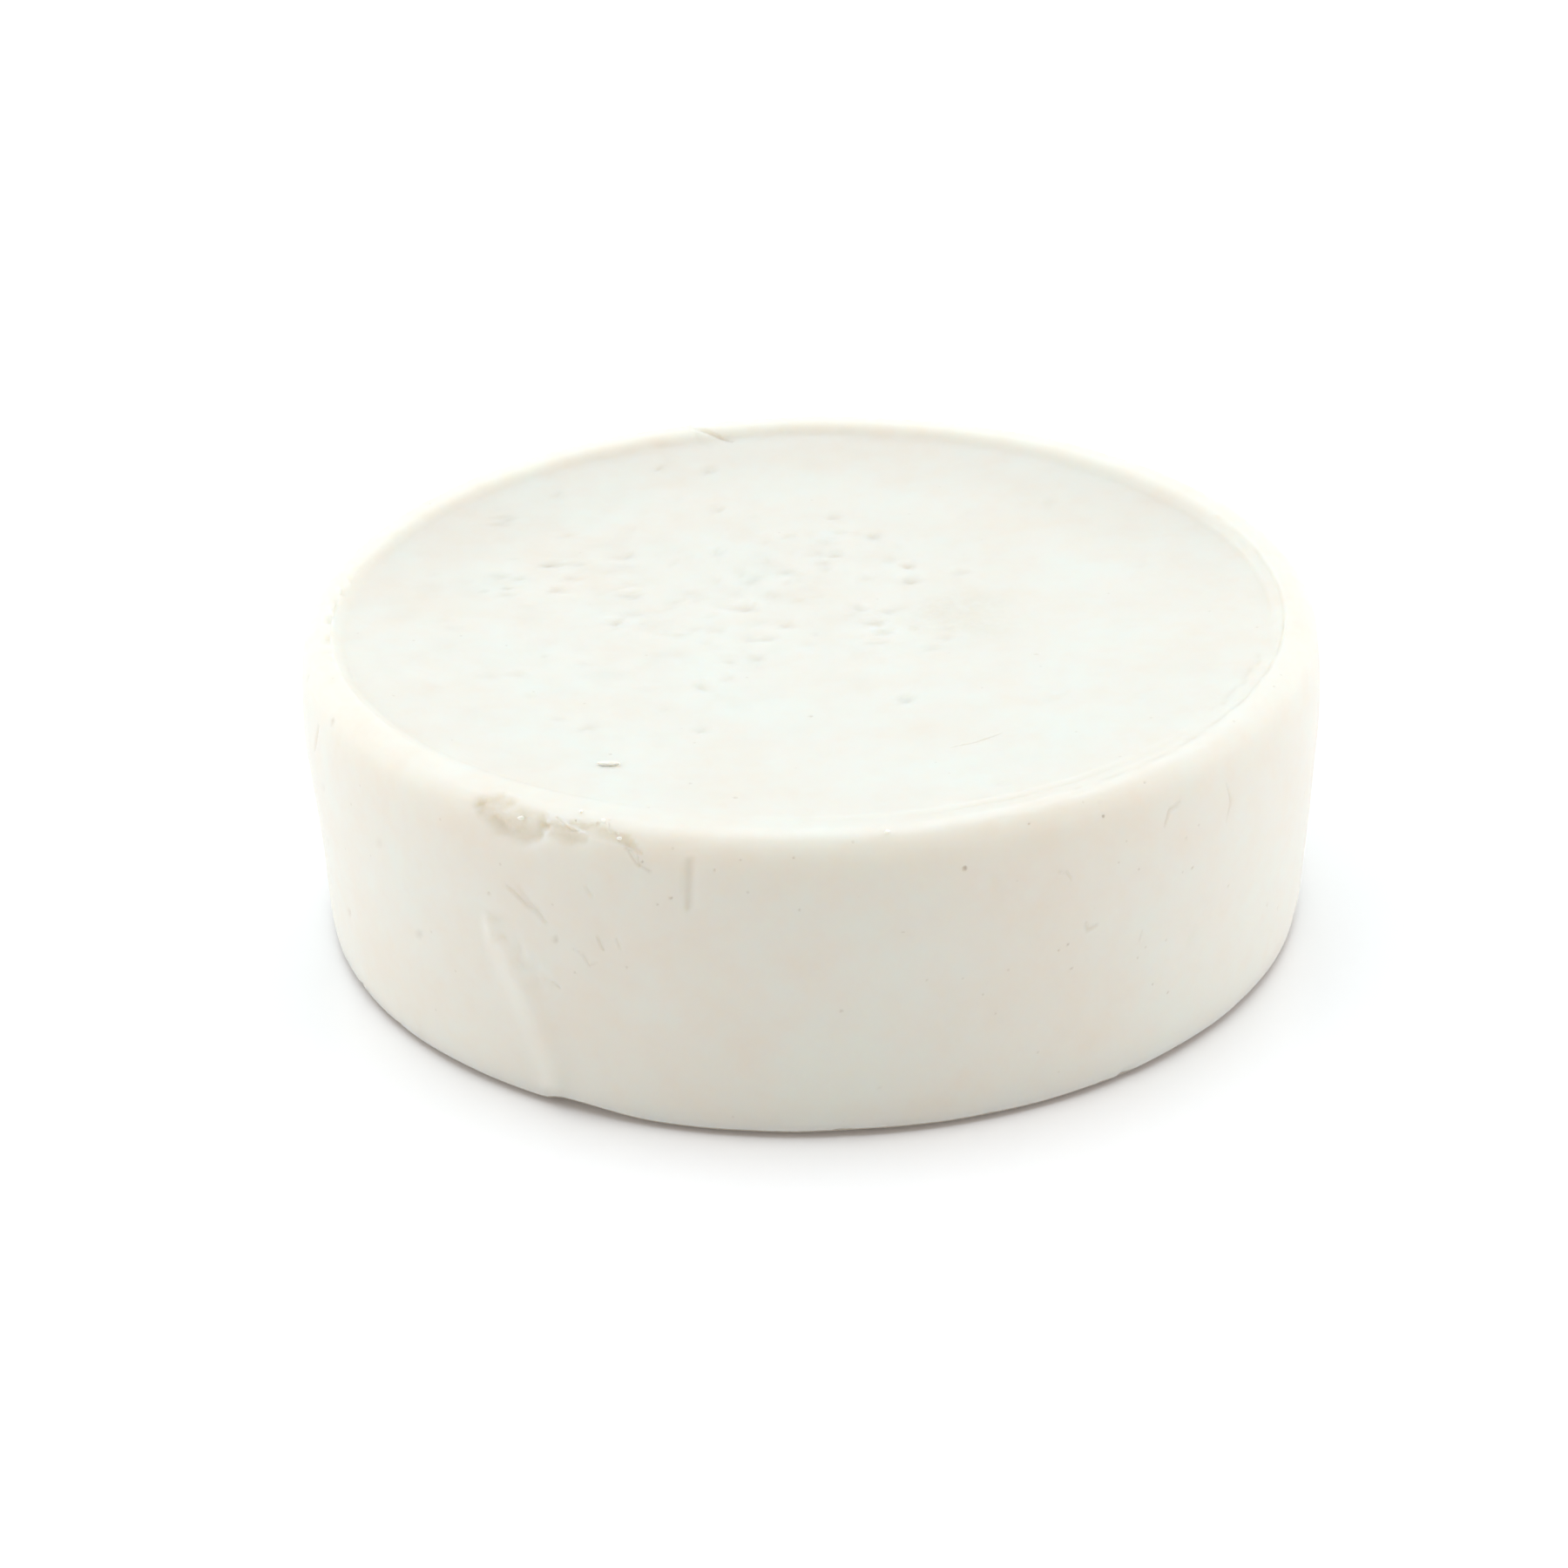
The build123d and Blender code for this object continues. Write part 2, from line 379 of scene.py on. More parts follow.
def grain(size, seed, spots=None):
    """Smooth noise from about -1 to 1, in lumps of this size, so that 0.3 * grain(7, 1) is 0.3 mm high."""
    shift = Vector((seed * 17.31, seed * 5.17, seed * 11.73))
    spots = points if spots is None else spots
    return np.array([noise.noise(Vector(spot) / size + shift) for spot in spots])


def around(angle, spread):
    """1 at an angle round the cake, falling to 0 at this many degrees either side."""
    off = np.abs((angles - angle + 180) % 360 - 180)
    return ease(1 - off / spread)


# How the casting differs from a true turned shape. At the left, and a little at the right, the lip is
# steep, so the dish reaches further out.
DISH_START = 18                 # nearer to the axis than this the dish isn't moved
outwards = np.column_stack((np.cos(turns), np.sin(turns), np.zeros(len(turns))))
dish_reach = 0.9 * around(195, 62) + 0.45 * around(348, 45)
dish_reach = dish_reach * fall(away, LIP_RADIUS + 0.3, 1.3) * rise(away, DISH_START, 15) * upper_half
move = outwards * dish_reach[:, None]

# Only the back has a clear lip. Towards the front the soap climbed the mould before it set, so there
# the dish sweeps up to the rim without a step.
BOWL_POWER = 2.3
BOWL_RADIUS = LIP_RADIUS + 0.3
bowl = HEIGHT - (LIP_DEPTH + DISH_SAG) * (1 - (np.clip(away, 0, BOWL_RADIUS) / BOWL_RADIUS)**BOWL_POWER)
fill = np.clip(0.12 + 1.1 * around(275, 120) + 0.35 * around(0, 60) + 0.25 * around(180, 50), 0, 1)
on_top = (facing_up > 0.3) & (away < BOWL_RADIUS) & upper_half
move[:, 2] += np.where(on_top, fill * (bowl - heights), 0)

# A wall drawn unevenly out of the mould, with a slow wave round it and a flat at the left
on_rim = rise(heights, HEIGHT - 1.4, 1.0) * rise(away, 22, 12)
on_side = rise(heights, 0.2, 2.0) * (np.abs(facing_up) < 0.9) * fall(heights, HEIGHT + 0.6, 1.5)
height_share = heights / HEIGHT
bulge = 0.10 * np.sin(2 * turns + 0.7) + 0.05 * np.sin(3 * turns + 2.0)
bulge -= 0.34 * around(182, 34) * ease(1.15 - height_share * 1.25) * ease(height_share * 2.2)
bulge += 0.16 * around(2, 30) * (1 - height_share)
lift = np.zeros(len(points))
lift += bulge * on_side
lift += 0.05 * grain(11.0, 3) + 0.028 * grain(4.0, 4) + 0.012 * grain(1.5, 5)
lift += (0.06 + 0.05 * around(325, 50)) * grain(2.6, 6) * on_rim + 0.022 * grain(0.9, 7) * on_rim
# The outside of the rim has worn rounder, most of all along the front and the right
WORN = 0.45             # how much the wear took off
WORN_REACH = 3.8        # how far it reaches either side of its worst
rising = slice(0, outline[:, 1].argmax() + 1)      # the outline from the base to the top of the rim
worst_wear = np.interp(HEIGHT - 0.8, outline[rising, 1], reached[rising])
worn = 0.25 + 0.7 * around(296, 52) + 0.35 * around(258, 24)
lift -= WORN * np.clip(worn, 0, 1) * ease(1 - np.abs(along - worst_wear) / WORN_REACH)
# Froth set on top of the pour, roughest a little left of the middle and fading towards the rim
frothy = 0.35 + 0.65 * ease(1.3 - np.hypot((points[:, 0] + 11) / 26, (points[:, 1] - 3) / 20))
froth = (facing_up > 0.9) * upper_half * frothy
foam = 0.07 * grain(3.6, 15) + 0.06 * grain(1.7, 16) + 0.02 * grain(0.7, 17)
lift += froth * foam
# Faint upright drag lines, from when the cake slid out of its mould
streak = np.array([noise.noise(Vector((angle * 0.9, height * 0.06, 3.3)))
                   for angle, height in zip(angles, heights)])
lift += 0.012 * streak * on_side

# What the material reads at each point: how much dirt and painted shade there is, and how freshly broken
# the soap is
# The low spots of the froth start out a little darker: painted shade
dirt_and_shade_here = froth * np.clip(-0.5 * foam, 0, 0.04)
broken_here = np.zeros(len(points))


def groove(path, width):
    """How much of a tapered line along a path reaches each point, from 0 to 1."""
    spans = [np.linalg.norm(after - before) for before, after in zip(path, path[1:])]
    total = sum(spans)
    best = np.full(len(points), 99.0)
    share = np.zeros(len(points))
    passed = 0.0
    for before, after, span in zip(path, path[1:], spans):
        part = np.clip((points - before) @ (after - before) / span**2, 0, 1)
        gap = np.linalg.norm(points - before - part[:, None] * (after - before), axis=1)
        nearer = gap < best
        best = np.where(nearer, gap, best)
        share = np.where(nearer, (passed + part * span) / total, share)
        passed += span
    taper = 0.2 + 0.8 * np.sqrt(np.clip(1 - (2 * share - 1)**2, 0, 1))      # narrow at both ends
    return ease(1 - best / (width / 2 * taper))


def dimple(spot, radius):
    """How much of a round hollow reaches each point, from 0 to 1."""
    return ease(1 - np.linalg.norm(points - spot, axis=1) / radius)


# Shallow craters on the dish, where bubbles in the froth burst. The small ones crowd towards the left and
# are painted darker the deeper they are, which is painted shade, and the wider ones lie anywhere.
CRATERS = 230
CRATER_SPREAD = 31              # none lie further from the axis than this
CRATER_SHADE = 0.22              # for each millimetre of depth
dice = np.random.default_rng(31)
for number in range(CRATERS):
    x = dice.normal(-9, 12)
    y = dice.normal(6, 9)
    radius = dice.uniform(0.35, 1.1)
    depth = dice.uniform(0.06, 0.28) * radius
    if math.hypot(x, y) < CRATER_SPREAD:
        crater = dimple(on_dish(x, y), radius)
        lift -= depth * crater
        # painted shade in the crater
        dirt_and_shade_here += CRATER_SHADE * depth * crater
WIDER_CRATERS = 60
WIDER_SPREAD = 32
for number in range(WIDER_CRATERS):
    x, y = dice.uniform(-WIDER_SPREAD, WIDER_SPREAD, 2)
    radius = dice.uniform(0.4, 1.3)
    depth = dice.uniform(0.03, 0.14) * radius
    if math.hypot(x, y) < WIDER_SPREAD:
        lift -= depth * dimple(on_dish(x, y), radius)

# Dents and low bumps on the wall: a scatter all the way round, and some more at the front, each with its
# angle, height, radius and depth, below zero for a bump
SCATTERED_DENTS = 46
for number in range(SCATTERED_DENTS):
    angle = dice.uniform(0, 360)
    height = dice.uniform(2, HEIGHT - 3)
    radius = dice.uniform(0.5, 1.6)
    depth = dice.uniform(-0.05, 0.07) * radius
    lift -= depth * dimple(on_wall(angle, height), radius)
WALL_DENTS = [
    (288.3, 19.1, 0.95, 0.12), (314.7, 9.1, 1.1, 0.16), (311.4, 7.4, 0.9, -0.14),
    (238.3, 1.3, 0.7, -0.2), (313.8, 9.9, 0.35, -0.07), (256.6, 22.5, 0.5, -0.1),
]
for angle, height, radius, depth in WALL_DENTS:
    lift -= depth * dimple(on_wall(angle, height), radius)

# A soft upright ridge at the front left, and the scuffed patch at its top
RIDGE_HEIGHT = 0.22
RIDGE_WIDTH = 4.2
ridge = [on_wall(232.5, 14.0), on_wall(236.0, 9.0), on_wall(238.6, 4.5), on_wall(239.4, 0.6)]
lift += RIDGE_HEIGHT * groove(ridge, RIDGE_WIDTH)
scuff = np.clip(dimple(on_wall(234.0, 13.0), 4.2) + dimple(on_wall(238.5, 11.0), 3.4), 0, 1)
lift -= scuff * np.clip(0.14 * grain(0.8, 8) + 0.09 * grain(0.4, 9), -0.04, 0.1)

# Creases along the inside of the rim, from the front right round to the right: the angles they run
# between, the distance from the axis, the width and the depth. Each is painted a little darker inside:
# painted shade.
CREASES = [
    (292, 304, 35.9, 0.4, 0.09), (300, 322, 35.2, 0.5, 0.10), (318, 352, 34.8, 0.6, 0.12),
    (346, 385, 34.6, 0.7, 0.12), (326, 345, 33.4, 0.5, 0.08), (284, 296, 36.3, 0.3, 0.06),
]
CREASE_WANDER = 0.15
CREASE_SHADE = 0.04
for start, end, radius, width, depth in CREASES:
    path = [on_cake(angle, radius + CREASE_WANDER * math.sin(angle), HEIGHT - FOOT)
            for angle in range(start, end + 1, 3)]
    crease = groove(path, width)
    lift -= depth * crease
    # painted shade along the crease
    dirt_and_shade_here += CREASE_SHADE * crease

PIT_SIZE = 0.85         # pits have closed a little since they formed
PIT_DIRT = 0.43
LINE_DEPTH = 0.55       # most of a crack has filled with soap that smeared over it
LINE_DIRT = 0.11
for path, width, depth, dirt in lines:
    cut = groove(path, width)
    lift -= LINE_DEPTH * depth * cut
    dirt_and_shade_here += LINE_DIRT * dirt * ease(cut * 1.5)
for spot, radius, depth, dirt in pits:
    pit = dimple(spot, radius * PIT_SIZE)
    lift -= LINE_DEPTH * depth * pit
    dirt_and_shade_here += PIT_DIRT * dirt * ease(pit * 1.6)

# Pinholes on the sides that the lists above leave bare
BARE_SIDES = (-20, 225)
BARE_PITS = 70
BARE_PIT_DEPTH = 0.1
for number in range(BARE_PITS):
    angle = dice.uniform(*BARE_SIDES)
    spot = on_wall(angle, dice.uniform(1.5, HEIGHT - 1.5))
    radius = dice.uniform(0.25, 0.5)
    pit = dimple(spot, radius)
    lift -= BARE_PIT_DEPTH * pit
    dirt_and_shade_here += dice.uniform(0.1, 0.33) * pit

shape = points + move + out * lift[:, None]


def bite(spot, radius, rough, seed, scale):
    """Breaks a round, craggy hollow out of the cake; returns how deep it went at each point."""
    fine = 0.4      # the finer of the two roughnesses, as a share of the coarser
    size = radius * (1 + rough * grain(scale, seed, shape)
                     + rough * fine * grain(scale * fine, seed + 1, shape))
    to_here = shape - spot
    level = (to_here * out).sum(1)
    room = level**2 - (to_here**2).sum(1) + size**2
    depth = np.where(room > 0, level + np.sqrt(np.clip(room, 0, None)), 0)
    depth = np.where((to_here**2).sum(1) < size**2, np.clip(depth, 0, None), 0)
    return depth


def crumbled(path, width, seed):
    """Where soap has crumbled away along a path, from 0 to 1, with a ragged edge and an uneven floor."""
    near = groove(path, width)
    edge = near + 0.30 * grain(1.3, seed) + 0.14 * grain(0.5, seed + 1) + 0.05 * grain(0.22, seed + 2)
    floor = 0.8 + 0.34 * grain(0.9, seed + 3) + 0.13 * grain(0.4, seed + 4)
    return np.where(near > 0, rise(edge, 0.24, 0.5) * floor, 0)


# The broken stretch of rim at the front left: a hollow, and a lower step of it that runs on to the right
# and gets thinner. Each is a path, a width and a depth.
CRUMBLED = [
    ([(231.8, 37.5, 22.8), (234.6, 37.6, 22.6), (237.2, 37.7, 22.3), (240.4, 37.6, 22.6)], 5.4, 0.36),
    ([(233.6, 37.9, 22.0), (236.5, 38.0, 21.5), (239.5, 37.9, 21.9)], 3.4, 0.16),
    ([(239.4, 37.7, 22.6), (242.5, 37.7, 22.4), (245.6, 37.8, 22.2)], 2.2, 0.27),
    ([(243.0, 37.2, 23.2), (246.2, 37.3, 23.1), (249.6, 37.6, 22.7), (251.4, 37.9, 21.8)], 1.6, 0.2),
]
for number, (path, width, depth) in enumerate(CRUMBLED):
    gone = crumbled([on_cake(*spot) for spot in path], width, 20 + 5 * number)
    shape -= out * (depth * gone)[:, None]
    broken_here = np.maximum(broken_here, np.clip(gone, 0, 1))

# Painted shade on the dish, darker towards the back and most just inside the lip there, and a yellowed
# patch on the dish
PAINTED_BACK_SHADE = 0.03
PAINTED_LIP_SHADE = 0.09
on_dish_side = fall(away, LIP_RADIUS, 1.0) * upper_half
towards_back = rise(points[:, 1], -4, 24)
# painted shade: the back of the dish and the inside of the back lip are darker
dirt_and_shade_here += (PAINTED_BACK_SHADE + PAINTED_LIP_SHADE * rise(away, 22, 11)) * towards_back * on_dish_side
YELLOWED = 0.55
YELLOWED_WIDTH = 4.6
YELLOWED_LENGTH = 5.6
yellowed = on_dish(11.3, 2.0)
off_patch = np.hypot((points[:, 0] - yellowed[0]) / YELLOWED_WIDTH,
                     (points[:, 1] - yellowed[1]) / YELLOWED_LENGTH)
patch = ease(1.25 - off_patch + 0.25 * grain(2.5, 12))
broken_here = np.maximum(broken_here, YELLOWED * patch * (heights > HEIGHT - 3))

# Nicks in the edge of the base: a scatter out of sight of the front, and some more along the front, each
# with its angle and radius
NICK_OUT = 0.4                  # how far outside the edge of the base their middles are
NICK_ROUGH = 0.3
SCATTERED_NICKS = 16
for number in range(SCATTERED_NICKS):
    spot = beside(dice.uniform(-30, 225), BASE_RADIUS + NICK_OUT, -FOOT)
    shape -= out * bite(spot, dice.uniform(0.45, 0.75), NICK_ROUGH, 60 + number, 0.6)[:, None]
BASE_NICKS = [(272.3, 0.6), (281.0, 0.5), (288.6, 0.5), (303.2, 0.58), (306.0, 0.66), (262.0, 0.45)]
for angle, radius in BASE_NICKS:
    spot = beside(angle, BASE_RADIUS + NICK_OUT, -FOOT)
    shape -= out * bite(spot, radius, NICK_ROUGH, 100 + int(angle), 0.5)[:, None]

# The edge of the bottom curls up from the table all round, most of all at the front left
CURL_START = 30.5               # the distance from the axis at which the bottom leaves the table
CURL_REACH = 3.0                # how far up the wall follows it
curl = FOOT + 0.08 * grain(5.0, 11) + 0.12 * around(272, 14)
curl += 0.34 * rise(angles, 237.6, 2.4) * fall(angles, 252, 11)
curl = curl * rise(away, CURL_START, 5.5)
shape[:, 2] += curl * ease(1 - heights / CURL_REACH)

# Grime from the table together with painted shade on the turned-up edge, most along the front, and painted
# shade just under it
EDGE_GRIME_AND_SHADE = 1.0
UNDER_SHADE = 0.6
near_edge = rise(away, 31.0, 3.0)
grime_and_shade = 0.6 + 0.3 * around(244, 10) + 0.4 * around(278, 24) + 0.3 * grain(2.5, 18)
# grime and painted shade along the bottom edge
dirt_and_shade_here += EDGE_GRIME_AND_SHADE * np.clip(grime_and_shade, 0, 1.1) * fall(heights, 0.2, 0.14) * near_edge
# painted shade on the underside
dirt_and_shade_here += UNDER_SHADE * fall(facing_up, -0.5, 0.4) * near_edge

# The inner edge of the rim has crumbled at the left, and a little at the back and the right. The ragged
# line wanders: it lies further in at the back and the right than at the front and the left.
LIP_IN = 0.12
MORE_AT_RIGHT = 0.52
MORE_AT_BACK = 0.62
lip_shift = -LIP_IN - MORE_AT_RIGHT * np.cos(turns) - MORE_AT_BACK * np.sin(turns)
lip_shift += 0.28 * grain(7.0, 1) + 0.12 * grain(2.2, 2)
frayed = 0.42 * around(180, 20) + 0.14 * around(150, 40) + 0.16 * around(345, 30) + 0.10 * around(100, 30)
at_lip = ease(1 - np.abs(away - LIP_RADIUS + 0.35 - lip_shift) / 0.9) * (facing_up > 0.3)
ragged = np.clip(0.5 + 1.4 * grain(1.3, 13) + 0.7 * grain(0.5, 14), 0, 1.2)
shape -= out * (frayed * at_lip * ragged)[:, None]

for vert, spot in zip(blank.verts, shape):
    vert.co = Vector(spot) * MM


def touching(place):
    """The point of the finished cake that is nearest to a place, and the way out from it."""
    nearest = ((shape - place)**2).sum(1).argmin()
    return shape[nearest], out[nearest]


cake_mesh = bpy.data.meshes.new("soap_cake_cast")
blank.to_mesh(cake_mesh)
blank.free()
# The dirt layer holds real dirt in cracks and pits together with painted shade in hollows, creases, the
# back of the dish and under the base edge
for name, values in (("dirt", dirt_and_shade_here), ("broken", broken_here)):
    layer = cake_mesh.attributes.new(name, "FLOAT", "POINT")
    layer.data.foreach_set("value", np.clip(values, 0, 1).astype(np.float32))
cake_mesh.polygons.foreach_set("use_smooth", [True] * len(cake_mesh.polygons))
cake = bpy.data.objects.new("soap_cake_cast", cake_mesh)
bpy.context.scene.collection.objects.link(cake)
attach(cake, "root")
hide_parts("soap_cake")


def linear(hex_colour):
    """An sRGB hex colour as linear red, green, blue and alpha."""
    parts = [int(hex_colour[digit:digit + 2], 16) / 255 for digit in (1, 3, 5)]
    lit = [part / 12.92 if part <= 0.04045 else ((part + 0.055) / 1.055)**2.4 for part in parts]
    return (*lit, 1.0)


def add_node(tree, kind, settings=None, links=None):
    """Adds a node with its properties, sockets and colour stops, and links sockets to other outputs."""
    node = tree.nodes.new(kind)
    for name, value in (settings or {}).items():
        if name == "stops":
            elements = node.color_ramp.elements
            while len(elements) < len(value):
                elements.new(0.5)
            for element, (position, colour) in zip(elements, value):
                element.position = position
                element.color = colour
        elif isinstance(name, str) and hasattr(node, name):
            setattr(node, name, value)
        else:
            node.inputs[name].default_value = value
    for name, output in (links or {}).items():
        tree.links.new(output, node.inputs[name])
    return node


def per_mm(size):
    """Noise scale for lumps of this many millimetres, in object coordinates that are metres."""
    return 1 / (size * MM)


# Hard milled soap, as cast: waxy and a little translucent, so light softens in it before it comes out,
# with a cloudy cream colour, fine air pinholes, and a dull skin that turns matt and dark where it broke.
# The real grain is under 0.1 mm, too fine to show, so the skin is drawn with a grain of about 0.5 mm.
CREAM = linear("#E4E1D7")
CREAM_WARM = linear("#E4DDD0")
CREAM_COOL = linear("#E2E4DB")
BROKEN_SOAP = linear("#D9D2C1")
# Dirt colour, which also paints the shade that the dirt layer carries
DIRT_AND_SHADE = linear("#8C7656")
CLOUD_SIZE = 11             # slow drifts of colour from the pour
MOTTLE_SIZE = 2.2
BROKEN_GRAIN = 0.7
PINHOLE_SPACING = 2.6
PINHOLE_DIRT = 0.13
DULL_PATCHES = 3.5
SKIN_GRAIN = 0.55
SKIN_WAVES = 1.8
SOAP_IOR = 1.45
LIGHT_SPREAD = (4.0, 3.4, 2.8)      # how far red, green and blue light travels in the soap
soap = bpy.data.materials.new("hard_soap_as_cast")
soap.use_nodes = True
tree = soap.node_tree
tree.nodes.clear()
place = add_node(tree, "ShaderNodeTexCoord").outputs["Object"]
cloud = add_node(tree, "ShaderNodeTexNoise",
                 {"Scale": per_mm(CLOUD_SIZE), "Detail": 4.0, "Roughness": 0.6}, {"Vector": place})
mottle = add_node(tree, "ShaderNodeTexNoise",
                  {"Scale": per_mm(MOTTLE_SIZE), "Detail": 3.0, "Roughness": 0.6}, {"Vector": place})
tint = add_node(tree, "ShaderNodeValToRGB",
                {"stops": [(0.32, CREAM_WARM), (0.5, CREAM), (0.66, CREAM_COOL)]},
                {"Fac": cloud.outputs["Fac"]})
speck = add_node(tree, "ShaderNodeValToRGB",
                 {"stops": [(0.3, CREAM_WARM), (0.5, CREAM), (0.7, CREAM_COOL)]},
                 {"Fac": mottle.outputs["Fac"]})
base = add_node(tree, "ShaderNodeMix", {"data_type": "RGBA", 0: 0.4},
                {6: tint.outputs["Color"], 7: speck.outputs["Color"]})
broken_layer = add_node(tree, "ShaderNodeAttribute", {"attribute_name": "broken"}).outputs["Fac"]
broken_grain = add_node(tree, "ShaderNodeTexNoise", {"Scale": per_mm(BROKEN_GRAIN), "Detail": 4.0},
                        {"Vector": place})
broken_amount = add_node(tree, "ShaderNodeMath", {"operation": "MULTIPLY"},
                         {0: broken_layer, 1: broken_grain.outputs["Fac"]})
broken = add_node(tree, "ShaderNodeMix", {"data_type": "RGBA", 7: BROKEN_SOAP},
                  {0: broken_amount.outputs["Value"], 6: base.outputs[2]})
pinhole_cells = add_node(tree, "ShaderNodeTexVoronoi",
                         {"Scale": per_mm(PINHOLE_SPACING), "Randomness": 1.0}, {"Vector": place})
pinholes = add_node(tree, "ShaderNodeValToRGB", {"stops": [(0.030, (1, 1, 1, 1)), (0.055, (0, 0, 0, 1))]},
                    {"Fac": pinhole_cells.outputs["Distance"]})
# The dirt layer: real dirt and painted shade
dirt_and_shade_layer = add_node(tree, "ShaderNodeAttribute", {"attribute_name": "dirt"}).outputs["Fac"]
pinhole_share = add_node(tree, "ShaderNodeMath", {"operation": "MULTIPLY", 1: PINHOLE_DIRT},
                         {0: pinholes.outputs["Color"]})
dirt_and_shade_amount = add_node(tree, "ShaderNodeMath", {"operation": "MAXIMUM"},
                       {0: dirt_and_shade_layer, 1: pinhole_share.outputs["Value"]})
coloured = add_node(tree, "ShaderNodeMix", {"data_type": "RGBA", 7: DIRT_AND_SHADE},
                    {0: dirt_and_shade_amount.outputs["Value"], 6: broken.outputs[2]})
dull = add_node(tree, "ShaderNodeTexNoise",
                {"Scale": per_mm(DULL_PATCHES), "Detail": 5.0, "Roughness": 0.65}, {"Vector": place})
roughness = add_node(tree, "ShaderNodeMapRange", {"To Min": 0.42, "To Max": 0.62},
                     {"Value": dull.outputs["Fac"]})
skin = add_node(tree, "ShaderNodeTexNoise",
                {"Scale": per_mm(SKIN_GRAIN), "Detail": 4.0, "Roughness": 0.55}, {"Vector": place})
skin_bump = add_node(tree, "ShaderNodeBump", {"Strength": 0.6, "Distance": 0.02 * MM},
                     {"Height": skin.outputs["Fac"]})
wave = add_node(tree, "ShaderNodeTexNoise", {"Scale": per_mm(SKIN_WAVES), "Detail": 2.0},
                {"Vector": place})
wave_bump = add_node(tree, "ShaderNodeBump", {"Strength": 0.6, "Distance": 0.05 * MM},
                     {"Height": wave.outputs["Fac"], "Normal": skin_bump.outputs["Normal"]})
crumble = add_node(tree, "ShaderNodeBump", {"Distance": 0.14 * MM},
                   {"Height": broken_grain.outputs["Fac"], "Strength": broken_layer,
                    "Normal": wave_bump.outputs["Normal"]})
surface = add_node(tree, "ShaderNodeBsdfPrincipled",
                   {"IOR": SOAP_IOR, "Subsurface Weight": 1.0, "Subsurface Scale": 1.0 * MM,
                    "Subsurface Radius": LIGHT_SPREAD},
                   {"Base Color": coloured.outputs[2], "Roughness": roughness.outputs["Result"],
                    "Normal": crumble.outputs["Normal"]})
add_node(tree, "ShaderNodeOutputMaterial", links={"Surface": surface.outputs["BSDF"]})
cake_mesh.materials.append(soap)

# ---------------------------------------------------------------------------------------------
# Surface flake
# A curled shaving of dry soap that lies loose on the dish, near the front left of the rim.
# ---------------------------------------------------------------------------------------------
flake_low, flake_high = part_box("surface_flake")
FLAKE_SIZE = (2.1, 0.75, 0.5)
FLAKE_TURN = -4
FLAKE_RISE = 0.1                # its middle above the soap
FLAKE_CURL = 0.12               # how far its ends curl up
FLAKE_CORNERS = 40


def lump(centre, size, turn, seed, corners):
    """A broken grain: the hull of scattered points, cut finer and roughened. Returns its mesh builder."""
    scatter = np.random.default_rng(seed)
    spots = scatter.normal(size=(corners, 3))
    spots /= np.linalg.norm(spots, axis=1)[:, None]
    spots *= scatter.uniform(0.75, 1.0, (corners, 1))
    built = bmesh.new()
    for spot in spots:
        built.verts.new(spot)
    bmesh.ops.convex_hull(built, input=built.verts)
    inside = [vert for vert in built.verts if not vert.link_faces]
    bmesh.ops.delete(built, geom=inside, context="VERTS")
    bmesh.ops.subdivide_edges(built, edges=built.edges[:], cuts=3, use_grid_fill=True)
    for smoothing in range(3):
        bmesh.ops.smooth_vert(built, verts=built.verts[:], factor=0.5,
                              use_axis_x=True, use_axis_y=True, use_axis_z=True)
    spin = Matrix.Rotation(math.radians(turn), 3, "Z")
    for vert in built.verts:
        rough = 1 + 0.14 * noise.noise(vert.co * 2.2 + Vector((seed, 0, 0)))
        local = Vector((vert.co.x * size[0], vert.co.y * size[1], vert.co.z * size[2])) * rough / 2
        vert.co = Vector(centre) + spin @ local * MM
    return built


flake_middle = (flake_low + flake_high) / 2 / MM
flake_seat, up = touching(np.array(flake_middle))
flake_centre = Vector(flake_seat + FLAKE_RISE * up) * MM
flake_bmesh = lump(flake_centre, FLAKE_SIZE, FLAKE_TURN, 5, FLAKE_CORNERS)
for vert in flake_bmesh.verts:
    share = (vert.co.x - flake_centre.x) / (FLAKE_SIZE[0] / 2 * MM)
    vert.co.z += FLAKE_CURL * MM * share * share
flake_mesh = bpy.data.meshes.new("loose_flake")
flake_bmesh.to_mesh(flake_mesh)
flake_bmesh.free()
flake_mesh.polygons.foreach_set("use_smooth", [True] * len(flake_mesh.polygons))
flake = bpy.data.objects.new("loose_flake", flake_mesh)
bpy.context.scene.collection.objects.link(flake)
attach(flake, "root")
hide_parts("surface_flake")

# Dry soap fragment: the same soap, air-dried right through, so it is paler, duller and less translucent
FRAGMENT_GRAIN = 0.3
FRAGMENT_ROUGHNESS = 0.85
fragment = bpy.data.materials.new("dry_soap_fragment")
fragment.use_nodes = True
tree = fragment.node_tree
tree.nodes.clear()
place = add_node(tree, "ShaderNodeTexCoord").outputs["Object"]
crumb_grain = add_node(tree, "ShaderNodeTexNoise", {"Scale": per_mm(FRAGMENT_GRAIN), "Detail": 4.0},
                       {"Vector": place})
crumb_colour = add_node(tree, "ShaderNodeValToRGB",
                        {"stops": [(0.3, linear("#EEE9DB")), (0.7, linear("#F6F3EA"))]},
                        {"Fac": crumb_grain.outputs["Fac"]})
crumb_bump = add_node(tree, "ShaderNodeBump", {"Strength": 0.5, "Distance": 0.05 * MM},
                      {"Height": crumb_grain.outputs["Fac"]})
